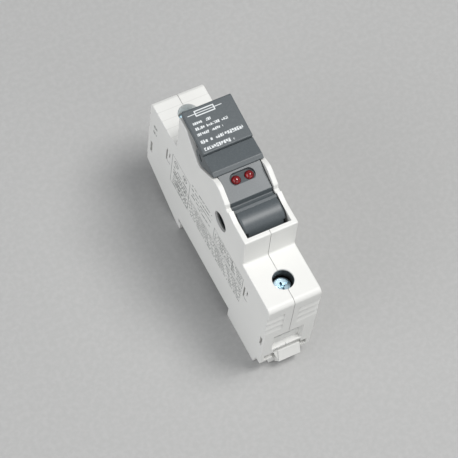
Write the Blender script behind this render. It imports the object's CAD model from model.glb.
import math
import bpy
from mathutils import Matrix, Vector


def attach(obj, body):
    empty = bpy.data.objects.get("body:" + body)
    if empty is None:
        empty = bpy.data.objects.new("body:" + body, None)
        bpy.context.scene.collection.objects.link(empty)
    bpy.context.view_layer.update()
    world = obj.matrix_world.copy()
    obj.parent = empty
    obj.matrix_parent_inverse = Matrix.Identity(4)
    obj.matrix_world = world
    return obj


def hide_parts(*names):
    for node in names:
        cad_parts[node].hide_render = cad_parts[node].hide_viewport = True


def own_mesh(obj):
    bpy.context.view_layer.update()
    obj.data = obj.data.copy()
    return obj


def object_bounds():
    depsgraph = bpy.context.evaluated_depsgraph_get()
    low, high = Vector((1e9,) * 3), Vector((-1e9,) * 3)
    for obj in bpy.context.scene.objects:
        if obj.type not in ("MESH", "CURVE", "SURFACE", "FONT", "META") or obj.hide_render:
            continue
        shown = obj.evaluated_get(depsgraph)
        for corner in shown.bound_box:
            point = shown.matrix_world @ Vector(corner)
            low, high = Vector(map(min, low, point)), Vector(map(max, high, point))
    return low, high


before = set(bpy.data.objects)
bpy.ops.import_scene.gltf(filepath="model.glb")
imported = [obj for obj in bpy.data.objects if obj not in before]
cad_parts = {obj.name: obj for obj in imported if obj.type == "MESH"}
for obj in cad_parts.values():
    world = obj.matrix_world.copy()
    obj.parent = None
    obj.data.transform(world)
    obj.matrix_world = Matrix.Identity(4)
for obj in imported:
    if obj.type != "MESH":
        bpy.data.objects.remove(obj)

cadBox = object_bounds()
mm = 0.001
print("frame loaded with", len(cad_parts), "nodes")


# an expression on values adds its maths nodes
class Value:
    def __init__(self, look, out):
        self.look = look
        self.out = out

    def maths(self, kind, *others, clamp=False):
        sockets = {i: v for i, v in enumerate((self,) + others)}
        return self.look.node("ShaderNodeMath", {"operation": kind, "use_clamp": clamp}, sockets)

    def __add__(self, other):
        return self.maths("ADD", other)

    def __radd__(self, other):
        return self.maths("ADD", other)

    def __sub__(self, other):
        return self.maths("SUBTRACT", other)

    def __rsub__(self, other):
        return self.look.node("ShaderNodeMath", {"operation": "SUBTRACT"}, {0: other, 1: self})

    def __mul__(self, other):
        return self.maths("MULTIPLY", other)

    def __rmul__(self, other):
        return self.maths("MULTIPLY", other)

    def __truediv__(self, other):
        return self.maths("DIVIDE", other)

    def __pow__(self, other):
        return self.maths("POWER", other)

    def __abs__(self):
        return self.maths("ABSOLUTE")

    def most(self, other):
        return self.maths("MAXIMUM", other)

    def clamped(self):
        return self.maths("ADD", 0.0, clamp=True)

    def whole(self):
        return self.maths("FLOOR")

    def rest(self):
        return self.maths("FRACT")

    def ramp(self, low, high):
        # 0 below low, 1 above high, or the other way round when low is the larger
        return self.look.node("ShaderNodeMapRange", {"interpolation_type": "SMOOTHSTEP"},
                              {"Value": self, "From Min": low, "From Max": high})


class Look:
    def __init__(self, name):
        self.material = bpy.data.materials.new(name)
        self.material.use_nodes = True
        self.tree = self.material.node_tree
        self.shader = self.tree.nodes["Principled BSDF"]
        self.column = 0

    def node(self, kind, settings=None, sockets=None, out=0):
        n = self.tree.nodes.new(kind)
        self.column += 1
        n.location = (-220 * (self.column % 9) - 300, -180 * (self.column // 9))
        for key, value in (settings or {}).items():
            setattr(n, key, value)
        for key, value in (sockets or {}).items():
            self.plug(n.inputs[key], value)
        return Value(self, n.outputs[out])

    def plug(self, socket, value):
        if isinstance(value, Value):
            self.tree.links.new(value.out, socket)
        elif socket.type == "RGBA" and len(value) == 3:
            socket.default_value = (*value, 1.0)
        else:
            socket.default_value = value

    def set(self, **sockets):
        names = {"colour": "Base Color", "rough": "Roughness", "metal": "Metallic", "normal": "Normal",
                 "coat": "Coat Weight", "coatRough": "Coat Roughness", "ior": "IOR",
                 "glass": "Transmission Weight", "specular": "Specular IOR Level"}
        for key, value in sockets.items():
            self.plug(self.shader.inputs[names[key]], value)
        return self.material

    def place(self):
        # object coordinates in millimetres
        spot = self.node("ShaderNodeTexCoord", out="Object")
        return self.node("ShaderNodeMapping", {}, {"Vector": spot, "Scale": (1 / mm, 1 / mm, 1 / mm)})

    def parts(self, vector):
        n = self.tree.nodes.new("ShaderNodeSeparateXYZ")
        self.plug(n.inputs[0], vector)
        return [Value(self, o) for o in n.outputs]

    def noise(self, vector, perMm, detail=3.0, rough=0.55, stretch=None):
        if stretch:
            vector = self.node("ShaderNodeVectorMath", {"operation": "MULTIPLY"}, {0: vector, 1: stretch})
        sockets = {"Vector": vector, "Scale": perMm, "Detail": detail, "Roughness": rough}
        return self.node("ShaderNodeTexNoise", {}, sockets)

    def mix(self, share, a, b):
        return self.node("ShaderNodeMix", {"data_type": "RGBA"}, {0: share, 6: a, 7: b}, out=2)

    def chance(self, number):
        # a fixed random share for each whole number
        return self.node("ShaderNodeTexWhiteNoise", {"noise_dimensions": "1D"}, {"W": number})

    def bump(self, height, depth, strength=1.0, normal=None):
        sockets = {"Height": height, "Distance": depth * mm, "Strength": strength}
        if normal:
            sockets["Normal"] = normal
        return self.node("ShaderNodeBump", {}, sockets)

    def softEdge(self, radius):
        return self.node("ShaderNodeBevel", {"samples": 6}, {"Radius": radius * mm})

    def edges(self, radius):
        # near 1 where the surface turns sharply within the radius
        soft = self.softEdge(radius)
        flat = self.node("ShaderNodeNewGeometry", out="Normal")
        dot = {"operation": "DOT_PRODUCT"}
        same = self.node("ShaderNodeVectorMath", dot, {0: soft, 1: flat}, out="Value")
        return (1 - same).ramp(0.02, 0.30)

    def hollows(self, radius):
        # near 1 deep in corners and slots
        open_ = self.node("ShaderNodeAmbientOcclusion", {"samples": 8}, {"Distance": radius * mm}, out="AO")
        return open_.ramp(0.75, 0.15)


# printed marks: each helper gives 1 on the ink and 0 beside it

def band(value, middle, half, soft=0.04):
    return abs(value - middle).ramp(half + soft, half - soft)


def panel(u, v, left, right, low, high):
    return band(u, (left + right) / 2, (right - left) / 2) * band(v, (low + high) / 2, (high - low) / 2)


def outline(u, v, left, right, low, high, thick):
    t = thick / 2
    outer = panel(u, v, left - t, right + t, low - t, high + t)
    return (outer - panel(u, v, left + t, right - t, low + t, high - t)).clamped()


def ring(u, v, middle, radius, thick):
    away = ((u - middle[0]) * (u - middle[0]) + (v - middle[1]) * (v - middle[1])) ** 0.5
    return band(away, radius, thick / 2)


def dashes(look, u, v, left, right, middle, tall, pitch, seed):
    # a row of plain upright strokes with gaps, which stands for a line of print
    cell = (u / pitch).whole()
    kept = look.chance(cell + seed).ramp(0.13, 0.15)
    stroke = (u / pitch).rest().ramp(0.84, 0.76)
    half = tall * (0.32 + 0.18 * look.chance(cell + (seed + 0.5)))
    height = (abs(v - middle) - half).ramp(0.05, -0.05)
    return kept * stroke * height * band(u, (left + right) / 2, (right - left) / 2)


def brokenInk(look, at):
    # gaps and thin spots in the small print
    return look.noise(at, 1.5, 1.0, 0.4).ramp(0.36, 0.43)


def allOf(marks):
    total = marks[0]
    for mark in marks[1:]:
        total = total.most(mark)
    return total


# the light grey housing

housingFinish = {
    "colour": (0.800, 0.800, 0.775),
    "shade": (0.735, 0.736, 0.712),      # broad flow marks from moulding
    "worn": (0.880, 0.880, 0.870),       # rubbed edges
    "grime": (0.300, 0.290, 0.265),      # dust in the corners
    "ink": (0.100, 0.108, 0.104),
    "rough": 0.44,
    "grain": 2.6,                        # bumps per mm
    "grainDepth": 0.012,
    "printSide": -8.8,                   # the print is on the side below this X
    "inkShare": 0.95,
    "shelfStart": 22.6,                  # machining lines on the far shelf begin here
    "shelfPitch": 3.2,
    "shelfTop": 37.0,
    "well": (0.0, -31.6, 3.4),           # near screw well: X, Y and radius
    "wellLip": 36.3,                     # its far right side is dark below this
    "wellDark": (0.020, 0.020, 0.019),
}


def wellShade(x, y, z):
    # 1 on the far right side of the near screw well, which is kept dark
    v = housingFinish
    middleX, middleY, radius = v["well"]
    away = ((x - middleX) * (x - middleX) + (y - middleY) * (y - middleY)) ** 0.5
    side = 0.55 * (x - middleX) + 0.83 * (y - middleY)
    wall = away.ramp(radius + 0.3, radius + 0.2)
    return wall * side.ramp(0.1, 0.7) * z.ramp(v["wellLip"] + 0.3, v["wellLip"])


def sidePrint(look, at, x, y, z):
    # rating panel, wiring notes and tables, all as plain strokes and boxes
    v = housingFinish
    drawn = [outline(y, z, 11.9, 23.8, 14.6, 30.6, 0.22),
             ring(y, z, (21.0, 28.0), 1.25, 0.28), ring(y, z, (21.0, 28.0), 0.65, 0.22),
             ring(y, z, (15.2, 28.2), 1.25, 0.28), panel(y, z, 14.8, 15.6, 27.6, 28.8),
             outline(y, z, -24.0, -4.7, 24.3, 30.6, 0.22), panel(y, z, -10.6, -10.4, 24.3, 30.6),
             panel(y, z, -17.2, -17.0, 24.3, 30.6), panel(y, z, -24.2, 22.6, 22.9, 23.1),
             ring(y, z, (-0.3, 7.1), 0.4, 0.4)]
    marks = []
    for row in range(3):
        marks.append(dashes(look, y, z, 13.2, 22.6, 25.0 - 1.7 * row, 0.9, 0.75, 11 + row))
    for row in range(2):
        marks.append(dashes(look, y, z, 13.2, 20.5, 18.9 - 1.7 * row, 0.9, 0.75, 17 + row))
    slant = z + 0.17 * y                 # these rows climb a little towards the near end
    notes = ((-2.8, 10.7, 34.1), (-2.8, 10.7, 31.9), (-2.8, 9.8, 29.8),
             (3.0, 10.4, 28.1), (-2.2, 6.0, 26.6))
    for number, (left, right, level) in enumerate(notes):
        marks.append(dashes(look, y, slant, left, right, level, 0.8, 0.62, 23 + number))
    for row in range(4):
        marks.append(dashes(look, y, z, -23.4, -5.4, 29.5 - 1.4 * row, 0.85, 0.55, 31 + row))
    for row in range(6):
        marks.append(dashes(look, y, z, -24.0, 22.4, 21.9 - 1.35 * row, 0.8, 0.58, 41 + row))
    for level in (27.8, 24.6):
        marks.append(dashes(look, y, z, 34.6, 36.8, level, 1.6, 0.7, 53 + level))
    ink = allOf(drawn).most(allOf(marks) * brokenInk(look, at))
    return ink * x.ramp(v["printSide"] + 0.05, v["printSide"] - 0.05) * v["inkShare"]


def housingPlastic(name="housingPlastic", printed=False):
    v = housingFinish
    look = Look(name)
    at = look.place()
    x, y, z = look.parts(at)
    flow = look.noise(at, 0.045, 2.0, 0.5)
    speck = look.noise(at, 1.7, 4.0, 0.7)
    grain = look.noise(at, v["grain"], 3.0, 0.6)
    colour = look.mix(flow.ramp(0.35, 0.7) * 0.55, v["colour"], v["shade"])
    colour = look.mix(speck.ramp(0.60, 0.78) * 0.10, colour, v["grime"])
    colour = look.mix(look.edges(0.35) * speck.ramp(0.3, 0.6) * 0.55, colour, v["worn"])
    colour = look.mix(look.hollows(1.6) * (0.35 + 0.35 * speck), colour, v["grime"])
    # faint cross lines left by the mould on the far shelf
    line = ((y - v["shelfStart"]) / v["shelfPitch"]).rest().ramp(0.07, 0.03)
    onTop = z.ramp(v["shelfTop"] - 0.1, v["shelfTop"])
    shelf = line * onTop * y.ramp(v["shelfStart"], v["shelfStart"] + 0.5)
    colour = look.mix(shelf * 0.22, colour, v["grime"])
    colour = look.mix(wellShade(x, y, z), colour, v["wellDark"])
    rough = v["rough"] + 0.10 * (flow - 0.5) + 0.08 * (speck - 0.5)
    if printed:
        ink = sidePrint(look, at, x, y, z)
        colour = look.mix(ink * (0.75 + 0.4 * speck), colour, v["ink"])
        rough = rough + 0.12 * ink
    normal = look.bump(grain - 0.6 * shelf, v["grainDepth"], 0.6, look.softEdge(0.12))
    return look.set(colour=colour, rough=rough, normal=normal, specular=0.45)


# the dark glass-filled carrier and its printed handle plate

carrierFinish = {
    "colour": (0.076, 0.090, 0.098),
    "light": (0.118, 0.134, 0.143),      # glass fibres near the skin
    "worn": (0.210, 0.228, 0.238),
    "ink": (0.760, 0.790, 0.800),
    "rough": 0.40,
    "grain": 3.4,
    "plateTop": 55.45,                   # the plate's top face at Y 7.5, and how fast it climbs
    "plateStart": 7.5,
    "plateClimb": 0.1026,
}


def platePrint(look, at):
    # the general sign of a fuse in place of a name, then rows of plain strokes
    v = carrierFinish
    x, y, z = look.parts(at)
    sign = outline(x, y, -4.6, 1.6, 19.7, 21.3, 0.36).most(panel(x, y, -7.2, 4.2, 20.38, 20.62))
    marks = []
    rows = ((-6.8, -0.9, 17.6, 0.95, 0.62), (-6.8, 3.9, 15.8, 0.95, 0.62),
            (-7.1, 1.4, 13.9, 0.95, 0.62), (-7.2, 6.8, 11.3, 1.25, 0.80),
            (-7.2, 2.8, 8.9, 1.25, 0.80))      # left, right, middle, height, stroke pitch
    for number, (left, right, middle, tall, pitch) in enumerate(rows):
        marks.append(dashes(look, x, y, left, right, middle, tall, pitch, 3.0 + 7 * number))
    top = z - v["plateClimb"] * (y - v["plateStart"])
    ink = sign.most(allOf(marks) * brokenInk(look, at))
    return ink * top.ramp(v["plateTop"] - 0.25, v["plateTop"] - 0.15)


def carrierPlastic(name="carrierPlastic", printed=False):
    v = carrierFinish
    look = Look(name)
    at = look.place()
    fibre = look.noise(at, 2.2, 5.0, 0.75)
    cloud = look.noise(at, 0.09, 2.0)
    grain = look.noise(at, v["grain"], 3.0, 0.65)
    colour = look.mix(fibre.ramp(0.42, 0.72) * (0.35 + 0.4 * cloud), v["colour"], v["light"])
    colour = look.mix(look.edges(0.30) * fibre.ramp(0.35, 0.65) * 0.6, colour, v["worn"])
    rough = v["rough"] + 0.14 * (fibre - 0.5) + 0.10 * (cloud - 0.5)
    height = grain
    if printed:
        ink = platePrint(look, at)
        colour = look.mix(ink * (0.80 + 0.25 * fibre), colour, v["ink"])
        rough = rough + 0.10 * ink
        height = grain + 0.8 * ink
    normal = look.bump(height, 0.014, 0.7, look.softEdge(0.12))
    return look.set(colour=colour, rough=rough, normal=normal, specular=0.55)


def brightMetal(name, colour, dull, rough):
    look = Look(name)
    at = look.place()
    blot = look.noise(at, 0.55, 3.0, 0.6)
    drawn = look.noise(at, 1.2, 4.0, 0.7, stretch=(0.12, 3.0, 3.0))
    colour = look.mix(blot.ramp(0.38, 0.68) * 0.7, colour, dull)
    colour = look.mix(look.hollows(0.8) * 0.6, colour, tuple(c * 0.25 for c in dull))
    roughness = rough + 0.22 * (drawn - 0.5) + 0.12 * (blot - 0.5)
    normal = look.bump(drawn, 0.006, 0.6, look.softEdge(0.08))
    return look.set(colour=colour, rough=roughness, metal=1.0, normal=normal)


lensFinish = {
    "deep": (0.170, 0.0010, 0.003),
    "bright": (0.330, 0.003, 0.006),
    "rough": 0.06,
    "clear": 0.25,                       # share of light let through
}


def redLens():
    v = lensFinish
    look = Look("redLens")
    at = look.place()
    cloud = look.noise(at, 1.1, 2.0)
    scuff = look.noise(at, 4.5, 4.0, 0.7)
    colour = look.mix(cloud.ramp(0.35, 0.65), v["deep"], v["bright"])
    rough = v["rough"] + 0.10 * scuff.ramp(0.55, 0.75)
    return look.set(colour=colour, rough=rough, ior=1.52, glass=v["clear"], coat=0.6, coatRough=0.04,
                    normal=look.bump(scuff, 0.004, 0.3))


def plainMatt(name, colour, other, rough, perMm=1.0, depth=0.01):
    look = Look(name)
    at = look.place()
    blot = look.noise(at, perMm, 4.0, 0.6)
    tint = look.mix(blot.ramp(0.35, 0.7), colour, other)
    normal = look.bump(blot, depth, 0.5)
    return look.set(colour=tint, rough=rough + 0.15 * (blot - 0.5), normal=normal)


boardFinish = {"mask": (0.015, 0.120, 0.045), "trace": (0.030, 0.200, 0.080), "pad": (0.66, 0.64, 0.58)}


def boardGreen():
    # solder mask with raised traces and tinned pads
    v = boardFinish
    look = Look("boardGreen")
    at = look.place()
    x, y, z = look.parts(at)
    weave = look.noise(at, 1.8, 3.0, 0.6)
    across = abs(x)
    traces = allOf([band(across, 3.6, 0.25) * band(y, -0.6, 4.6),
                    band(across, 1.1, 0.2) * band(y, 0.4, 5.0),
                    band(y, 4.2, 0.22) * band(x, 0.0, 3.6)])
    spot = (across - 2.4) * (across - 2.4)
    pads = allOf([(spot + (y - level) * (y - level)).ramp(0.40, 0.30) for level in (-3.4, 3.8)])
    colour = look.mix(weave.ramp(0.3, 0.7) * 0.4, v["mask"], v["trace"])
    colour = look.mix(traces * 0.8, colour, v["trace"])
    colour = look.mix(pads, colour, v["pad"])
    normal = look.bump(traces + pads + 0.2 * weave, 0.04, 0.8)
    return look.set(colour=colour, rough=0.32 + 0.2 * (weave - 0.5) + 0.1 * pads, metal=pads, normal=normal)


resistorFinish = {
    "body": (0.560, 0.430, 0.270),
    "bands": ((-1.1, (0.30, 0.02, 0.02)), (-0.55, (0.20, 0.02, 0.25)), (0.0, (0.55, 0.16, 0.01)),
              (0.85, (0.50, 0.36, 0.08))),
}


def resistorPaint():
    v = resistorFinish
    look = Look("resistorPaint")
    at = look.place()
    x, y, z = look.parts(at)
    blot = look.noise(at, 1.5, 3.0)
    colour = look.mix(blot.ramp(0.3, 0.7) * 0.5, v["body"], tuple(c * 0.8 for c in v["body"]))
    for place, paint in v["bands"]:
        colour = look.mix(band(y, 0.2 + place, 0.13), colour, paint)
    return look.set(colour=colour, rough=0.30 + 0.1 * blot, normal=look.bump(blot, 0.02, 0.5))


looks = {
    "housing": housingPlastic(),
    "printedHousing": housingPlastic("printedHousing", printed=True),
    "carrier": carrierPlastic(),
    "printedPlate": carrierPlastic("printedPlate", printed=True),
    "lens": redLens(),
    "board": boardGreen(),
    "resistor": resistorPaint(),
    "steel": brightMetal("springSteel", (0.56, 0.56, 0.56), (0.40, 0.39, 0.38), 0.28),
    "tube": plainMatt("ceramicTube", (0.86, 0.85, 0.80), (0.78, 0.76, 0.70), 0.34, 0.8, 0.02),
    "nickel": brightMetal("nickelCap", (0.74, 0.71, 0.64), (0.60, 0.56, 0.49), 0.22),
    "silver": brightMetal("silveredCopper", (0.88, 0.86, 0.81), (0.70, 0.66, 0.58), 0.25),
    "copper": brightMetal("copperStrip", (0.86, 0.48, 0.34), (0.62, 0.30, 0.20), 0.30),
    "screw": brightMetal("blueZinc", (0.62, 0.80, 0.90), (0.44, 0.66, 0.80), 0.34),
    "cage": brightMetal("zincCage", (0.66, 0.68, 0.70), (0.48, 0.50, 0.52), 0.34),
}

wear = {
    "housing": ["housing_right", "housing_dowels", "din_foot"],
    "printedHousing": ["housing_left"],
    "carrier": ["fuse_carrier"],
    "printedPlate": ["handle_plate"],
    "board": ["indicator_board"],
    "steel": ["clip_spring_near", "clip_spring_far", "pivot_pin", "indicator_wire_near",
              "indicator_wire_far"],
    "tube": ["fuse_tube"],
    "silver": ["contact_near", "contact_far"],
    "copper": ["fuse_element"],
    "cage": ["clamp_cage_near", "clamp_cage_far"],
}
for key, names in wear.items():
    for name in names:
        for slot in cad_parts[name].material_slots:
            slot.material = looks[key]
print("finishes made:", len(looks))


# modelling helpers; places and sizes are in millimetres

def inMetres(place):
    return Vector(place) * mm


def beginPiece():
    if bpy.context.object and bpy.context.object.mode != "OBJECT":
        bpy.ops.object.mode_set(mode="OBJECT")
    bpy.ops.object.select_all(action="DESELECT")


def settle(name, look):
    # the new object takes its name and finish, and its place goes into its mesh
    piece = bpy.context.object
    bpy.ops.object.transform_apply(location=True, rotation=True, scale=True)
    piece.name = name
    piece.data.name = name
    piece.data.materials.clear()
    piece.data.materials.append(look)
    return piece


def pickFaces(piece, test):
    bpy.ops.object.mode_set(mode="EDIT")
    bpy.ops.mesh.select_mode(type="FACE")
    bpy.ops.mesh.select_all(action="DESELECT")
    bpy.ops.object.mode_set(mode="OBJECT")
    for face in piece.data.polygons:
        face.select = test(face.center / mm, face.normal)
    bpy.ops.object.mode_set(mode="EDIT")


def tidyShell(angle=35):
    # doubles merged, faces turned outwards, round sides shaded smooth
    bpy.ops.object.mode_set(mode="EDIT")
    bpy.ops.mesh.select_all(action="SELECT")
    bpy.ops.mesh.remove_doubles(threshold=0.0005 * mm)
    bpy.ops.mesh.normals_make_consistent(inside=False)
    bpy.ops.object.mode_set(mode="OBJECT")
    bpy.ops.object.shade_smooth_by_angle(angle=math.radians(angle))


# each axis and the turn that points a new primitive along it
along = {"Y": (Vector((0, 1, 0)), (-math.pi / 2, 0, 0)), "Z": (Vector((0, 0, 1)), (0, 0, 0))}


def turned(name, look, profile, axis, at, sides):
    # a round piece: a disc is drawn out step by step to each (radius, level) of the profile
    way, turn = along[axis]
    radius, level = profile[0]
    centre = Vector(at) + way * level
    beginPiece()
    bpy.ops.mesh.primitive_circle_add(vertices=sides, radius=radius * mm, fill_type="NGON",
                                      location=inMetres(centre), rotation=turn)
    piece = settle(name, look)
    bpy.ops.object.mode_set(mode="EDIT")
    bpy.ops.mesh.select_all(action="SELECT")
    for nextRadius, nextLevel in profile[1:]:
        step = way * (nextLevel - level)
        bpy.ops.mesh.extrude_region_move(TRANSFORM_OT_translate={"value": inMetres(step)})
        centre += step
        ratio = nextRadius / radius
        bpy.ops.transform.resize(value=(ratio, ratio, ratio), center_override=inMetres(centre))
        radius, level = nextRadius, nextLevel
    tidyShell()
    return piece


def arc(radius, level, start, stop, steps, out=0.0):
    # profile points round part of a circle whose middle is this far out from the axis
    points = []
    for i in range(steps + 1):
        a = math.radians(start + (stop - start) * i / steps)
        points.append((out + radius * math.cos(a), level + radius * math.sin(a)))
    return points


def pickPiece(piece):
    beginPiece()
    piece.select_set(True)
    bpy.context.view_layer.objects.active = piece


def carve(piece, tool):
    # takes the tool's shape out of the piece
    pickPiece(piece)
    cut = piece.modifiers.new("cut", "BOOLEAN")
    cut.object = tool
    cut.operation = "DIFFERENCE"
    cut.solver = "EXACT"
    bpy.ops.object.modifier_apply(modifier="cut")
    bpy.data.objects.remove(tool)


def joined(piece, others):
    pickPiece(piece)
    for other in others:
        other.select_set(True)
    bpy.ops.object.join()
    return piece


def copied(piece, name, move):
    # a copy with its own mesh, moved in the mesh
    pickPiece(piece)
    bpy.ops.object.duplicate(linked=False)
    twin = bpy.context.object
    twin.location = inMetres(move)
    bpy.ops.object.transform_apply(location=True, rotation=False, scale=False)
    twin.name = name
    twin.data.name = name
    return twin


def wound(name, look, corners, wire, start, turn, axis, turns, pitch, steps, place):
    # a closed loop wound up round an axis, closed at both ends and then moved to its place
    beginPiece()
    bpy.ops.mesh.primitive_circle_add(vertices=corners, radius=wire * mm, location=inMetres(start),
                                      rotation=turn)
    piece = settle(name, look)
    wind = piece.modifiers.new("wind", "SCREW")
    wind.axis = axis
    wind.steps = steps
    wind.render_steps = steps
    wind.iterations = turns
    wind.screw_offset = pitch * mm
    bpy.ops.object.modifier_apply(modifier="wind")
    bpy.ops.object.mode_set(mode="EDIT")
    bpy.ops.mesh.select_all(action="SELECT")
    bpy.ops.mesh.fill_holes(sides=0)
    bpy.ops.object.mode_set(mode="OBJECT")
    piece.location = inMetres(place)
    bpy.ops.object.transform_apply(location=True, rotation=False, scale=False)
    tidyShell(50)
    return piece


def part(piece, node, body):
    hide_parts(node)
    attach(piece, body)


# terminal screws: pan head with a slot and cross, and a rolled thread

screwSetup = {
    "place": (0.0, -31.6, 0.0),
    "between": 63.2,          # from one terminal to the other
    "core": 2.12, "thread": 0.36, "pitch": 0.8, "turns": 12, "threadFoot": 19.6,
    "tip": 18.7, "seat": 29.75, "top": 32.95, "head": 3.08, "rim": 0.55,
    "slotWide": 1.0, "slotDeep": 0.7,
    "crossWide": 0.95, "crossLong": 3.9, "crossDeep": 1.25, "crossTaper": 0.45,
}


def recessTool(size, place, taper):
    beginPiece()
    bpy.ops.mesh.primitive_cube_add(size=mm, location=inMetres(place), scale=size)
    tool = settle("recessTool", looks["screw"])
    pickFaces(tool, lambda at, normal: normal.z < -0.9)
    low = Vector((place[0], place[1], place[2] - size[2] / 2))
    bpy.ops.transform.resize(value=(taper, taper, 1.0), center_override=inMetres(low))
    bpy.ops.object.mode_set(mode="OBJECT")
    return tool


def terminalScrew(v):
    top, head, rim = v["top"], v["head"], v["rim"]
    profile = [(v["core"] - 0.6, v["tip"]), (v["core"], v["tip"] + 0.6), (v["core"], v["seat"] - 0.5),
               (v["core"] + 0.3, v["seat"] - 0.1), (head - 0.12, v["seat"]), (head, v["seat"] + 0.12)]
    profile += arc(rim, top - rim, 0, 90, 6, out=head - rim)
    profile += [(head - rim - 0.28, top), (head - rim - 0.40, top - 0.10), (0.4, top - 0.16)]
    piece = turned("terminalScrewNear", looks["screw"], profile, "Z", v["place"], 64)
    x, y, z = v["place"]
    carve(piece, recessTool((2 * head + 1, v["slotWide"], 2 * v["slotDeep"]), (x, y, top), 1.0))
    for size in ((v["crossWide"], v["crossLong"]), (v["crossLong"], v["crossWide"])):
        tool = recessTool((*size, 2 * v["crossDeep"]), (x, y, top), v["crossTaper"])
        carve(piece, tool)
    tidyShell(30)
    start = (v["core"], 0, v["threadFoot"])
    thread = wound("thread", looks["screw"], 3, v["thread"], start, (math.pi / 2, 0, 0), "Z", v["turns"],
                   v["pitch"], 20, v["place"])
    return joined(piece, [thread])


screwNear = terminalScrew(screwSetup)
screwFar = copied(screwNear, "terminalScrewFar", (0, screwSetup["between"], 0))
part(screwNear, "terminal_screw_near", "screw_near")
part(screwFar, "terminal_screw_far", "screw_far")
print("terminal screws made")


# indicator lamps: a domed lens on a flange, with the lead frame and cup inside

lampSetup = {
    "left": (-2.2, -2.4, 0.0), "apart": 4.4,
    "radius": 1.49, "flange": 1.85, "foot": 47.3, "flangeTop": 48.2, "domeFoot": 51.6,
    "flat": 1.68,             # the flange is cut off here on one side
    "cup": 0.62, "cupFoot": 50.0, "cupTop": 51.0, "post": 0.16, "postFoot": 46.6,
}


def lampLens(v):
    profile = [(v["flange"] - 0.1, v["foot"]), (v["flange"], v["foot"] + 0.1),
               (v["flange"], v["flangeTop"] - 0.1), (v["flange"] - 0.1, v["flangeTop"]),
               (v["radius"], v["flangeTop"])]
    profile += arc(v["radius"], v["domeFoot"], 0, 87, 14)
    piece = turned("lampLensLeft", looks["lens"], profile, "Z", v["left"], 56)
    x, y, z = v["left"]
    beginPiece()
    toolPlace = (x - v["flat"] - 1.0, y, v["foot"] + 0.4)
    bpy.ops.mesh.primitive_cube_add(size=mm, location=inMetres(toolPlace), scale=(2.0, 5.0, 1.2))
    tool = settle("flatTool", looks["lens"])
    pickFaces(tool, lambda at, normal: normal.x > 0.9)
    bpy.ops.mesh.subdivide(number_cuts=1)
    bpy.ops.object.mode_set(mode="OBJECT")
    carve(piece, tool)
    tidyShell(30)
    return piece


def lampCup(v):
    x, y, z = v["left"]
    profile = [(0.30, v["cupFoot"]), (v["cup"], v["cupFoot"] + 0.35), (v["cup"], v["cupTop"]),
               (v["cup"] - 0.12, v["cupTop"]), (0.25, v["cupTop"] - 0.45), (0.12, v["cupTop"] - 0.45)]
    cup = turned("lampCupLeft", looks["steel"], profile, "Z", (x, y, 0), 32)
    posts = []
    for shift, high in ((-0.25, v["cupFoot"] + 0.1), (0.95, v["cupTop"] - 0.1)):
        beginPiece()
        tall = high - v["postFoot"]
        middle = (x + shift, y, v["postFoot"] + tall / 2)
        bpy.ops.mesh.primitive_cube_add(size=mm, location=inMetres(middle),
                                        scale=(2 * v["post"], 2 * v["post"], tall))
        post = settle("post", looks["steel"])
        pickFaces(post, lambda at, normal: abs(normal.z) > 0.9)
        bpy.ops.mesh.inset(thickness=0.04 * mm)
        bpy.ops.mesh.extrude_region_move(TRANSFORM_OT_translate={"value": (0, 0, 0)})
        bpy.ops.object.mode_set(mode="OBJECT")
        tidyShell(40)
        posts.append(post)
    return joined(cup, posts)


lensLeft = lampLens(lampSetup)
cupLeft = lampCup(lampSetup)
lensRight = copied(lensLeft, "lampLensRight", (lampSetup["apart"], 0, 0))
cupRight = copied(cupLeft, "lampCupRight", (lampSetup["apart"], 0, 0))
for lens, node in ((lensLeft, "led_left"), (lensRight, "led_right")):
    part(lens, node, "carrier")
for cup in (cupLeft, cupRight):
    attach(cup, "carrier")
print("lamps made")


# fuse link caps: pressed cups with a crimp bead, the far one with a rejection nub

capSetup = {
    "height": 35.6, "near": -19.7, "far": 16.5,     # the fuse's axis and the caps' end faces
    "radius": 5.15, "inner": 4.77, "length": 9.5, "round": 0.35,
    "nub": 2.5, "nubEnd": 18.4,
    "crimpAt": 7.2, "crimpDeep": 0.22, "crimpHalf": 0.5,
}


def pressedCap(name, start, way, v, lead):
    r = v["round"]
    radius = v["radius"]
    corner = []
    for degrees in (0, 22, 45, 67, 90):
        a = math.radians(degrees)
        corner.append((radius - r + r * math.sin(a), start + way * r * (1 - math.cos(a))))
    crimp = start + way * v["crimpAt"]
    groove = []
    for share, deep in ((-1, 0), (-0.5, 0.7), (0, 1), (0.5, 0.7), (1, 0)):
        groove.append((radius - deep * v["crimpDeep"], crimp + way * share * v["crimpHalf"]))
    lip = start + way * v["length"]
    mouth = [(radius, lip - way * 0.08), (radius - 0.08, lip), (v["inner"] + 0.06, lip),
             (v["inner"], lip - way * 0.06), (v["inner"], start + way * 0.38)]
    return turned(name, looks["nickel"], lead + corner + groove + mouth, "Y", (0, 0, v["height"]), 64)


v = capSetup
capNear = pressedCap("fuseCapNear", v["near"], 1, v, [(2.0, v["near"] + 0.12), (2.2, v["near"])])
nub = [(v["nub"] - 0.3, v["nubEnd"]), (v["nub"] - 0.08, v["nubEnd"] - 0.08), (v["nub"], v["nubEnd"] - 0.3),
       (v["nub"], v["far"] + 0.2), (v["nub"] + 0.2, v["far"])]
capFar = pressedCap("fuseCapFar", v["far"], -1, v, nub)
part(capNear, "fuse_cap_near", "carrier")
part(capFar, "fuse_cap_far", "carrier")
print("fuse caps made")


# series resistors: dog-bone bodies with leads turned up to the board

resistorSetup = {
    "left": (-2.4, 0.2, 45.2), "apart": 4.8,
    "bead": 0.95, "waist": 0.78, "half": 2.2,
    "lead": 0.22, "leadStart": 2.1, "straight": 0.7, "bend": 0.45, "bendSteps": 5,
    "board": 46.3,            # the leads end in the board
}


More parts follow.
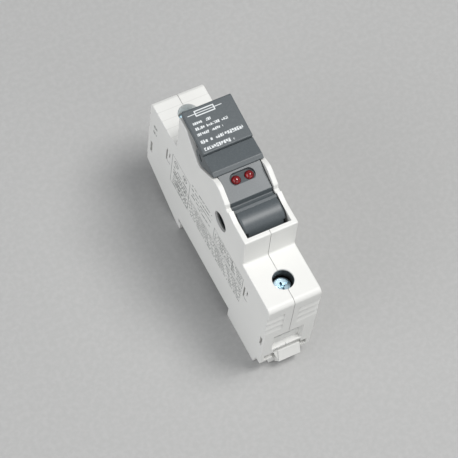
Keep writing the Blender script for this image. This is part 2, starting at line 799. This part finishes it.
def resistor(v):
    half, bead, waist = v["half"], v["bead"], v["waist"]
    profile = [(0.3, -half), (0.7, -half + 0.05), (bead - 0.05, -half + 0.3), (bead, -half + 0.6),
               (waist, -half + 1.05), (waist, half - 1.05), (bead, half - 0.6), (bead - 0.05, half - 0.3),
               (0.7, half - 0.05), (0.3, half)]
    body = turned("resistorLeft", looks["resistor"], profile, "Y", v["left"], 32)
    x, y, z = v["left"]
    wires = []
    for side in (-1, 1):
        beginPiece()
        start = (x, y + side * v["leadStart"], z)
        bpy.ops.mesh.primitive_circle_add(vertices=12, radius=v["lead"] * mm, fill_type="NGON",
                                          rotation=(math.pi / 2, 0, 0), location=inMetres(start))
        wire = settle("lead", looks["steel"])
        bpy.ops.object.mode_set(mode="EDIT")
        bpy.ops.mesh.select_all(action="SELECT")
        straight = inMetres((0, side * v["straight"], 0))
        bpy.ops.mesh.extrude_region_move(TRANSFORM_OT_translate={"value": straight})
        # a quarter turn upwards round a point above the wire
        pivot = inMetres((x, y + side * (v["leadStart"] + v["straight"]), z + v["bend"]))
        turn = -side * math.radians(90 / v["bendSteps"])
        for step in range(v["bendSteps"]):
            bpy.ops.mesh.extrude_region_move(TRANSFORM_OT_translate={"value": (0, 0, 0)})
            bpy.ops.transform.rotate(value=turn, orient_axis="X", center_override=pivot)
        rise = inMetres((0, 0, v["board"] - z - v["bend"]))
        bpy.ops.mesh.extrude_region_move(TRANSFORM_OT_translate={"value": rise})
        bpy.ops.object.mode_set(mode="OBJECT")
        tidyShell(40)
        wires.append(wire)
    return joined(body, wires)


resistorLeft = resistor(resistorSetup)
resistorRight = copied(resistorLeft, "resistorRight", (resistorSetup["apart"], 0, 0))
for piece in (resistorLeft, resistorRight):
    part(piece, "indicator_resistors", "carrier")
print("resistors made")


# latch spring: a wound wire that shortens as the latch is pulled out

springSetup = {
    "near": -33.6, "far": -25.0, "height": 1.7,
    "radius": 1.5, "wire": 0.22, "turns": 9, "play": 0.05,
    "travel": 4.0,            # how far the latch pulls out
}

v = springSetup
length = v["far"] - v["near"] - 2 * v["wire"] - v["play"]
spring = wound("latchSpring", looks["steel"], 10, v["wire"], (v["radius"], v["near"] + v["wire"], 0),
               (0, 0, 0), "Y", v["turns"], length / v["turns"], 28, (0, 0, v["height"]))
part(spring, "foot_spring", "housing")
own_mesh(spring)
print("latch spring made")


# floor, lamps and camera

floorSetup = {
    "half": 1.6, "level": cadBox[0][2],
    "colour": (0.43, 0.43, 0.425), "other": (0.46, 0.46, 0.455), "rough": 0.8,
}
beginPiece()
bpy.ops.mesh.primitive_plane_add(size=2 * floorSetup["half"], location=(0, 0, floorSetup["level"]))
floor = bpy.context.object
floor.name = "floor"
v = floorSetup
floor.data.materials.append(plainMatt("floorPaper", v["colour"], v["other"], v["rough"], 0.6, 0.02))

lamps = {
    "key": {"at": (0.34, -0.16, 0.98), "size": 0.42, "watts": 7.4, "colour": (1.0, 0.99, 0.975)},
    "fill": {"at": (-0.95, -0.10, 0.42), "size": 0.90, "watts": 4.6, "colour": (0.97, 0.98, 1.0)},
    "front": {"at": (0.10, -0.95, 0.42), "size": 0.80, "watts": 1.5, "colour": (1.0, 1.0, 1.0)},
}
for name, v in lamps.items():
    bpy.ops.object.light_add(type="AREA", location=v["at"])
    lamp = bpy.context.object
    lamp.name = name + "Lamp"
    lamp.data.shape = "SQUARE"
    lamp.data.size = v["size"]
    lamp.data.energy = v["watts"]
    lamp.data.color = v["colour"]
    lamp.rotation_euler = (Vector((0, 0, 0.02)) - Vector(v["at"])).to_track_quat("-Z", "Y").to_euler()

roomSetup = {"colour": (0.95, 0.97, 1.0, 1), "strength": 0.38}
world = bpy.data.worlds.new("softRoom")
world.use_nodes = True
world.node_tree.nodes["Background"].inputs["Color"].default_value = roomSetup["colour"]
world.node_tree.nodes["Background"].inputs["Strength"].default_value = roomSetup["strength"]
bpy.context.scene.world = world
bpy.context.scene.view_settings.view_transform = "Standard"

cameraSetup = {
    "at": (-0.177263, -0.252078, 0.591587),
    "turn": (27.8076, -4.2831, -27.0281),   # degrees
    "lens": 164.3,
}
turn = [math.radians(a) for a in cameraSetup["turn"]]
bpy.ops.object.camera_add(location=cameraSetup["at"], rotation=turn)
camera = bpy.context.object
camera.data.lens = cameraSetup["lens"]
camera.data.sensor_width = 36
camera.data.clip_end = 20
bpy.context.scene.camera = camera
print("floor, lamps and camera placed")
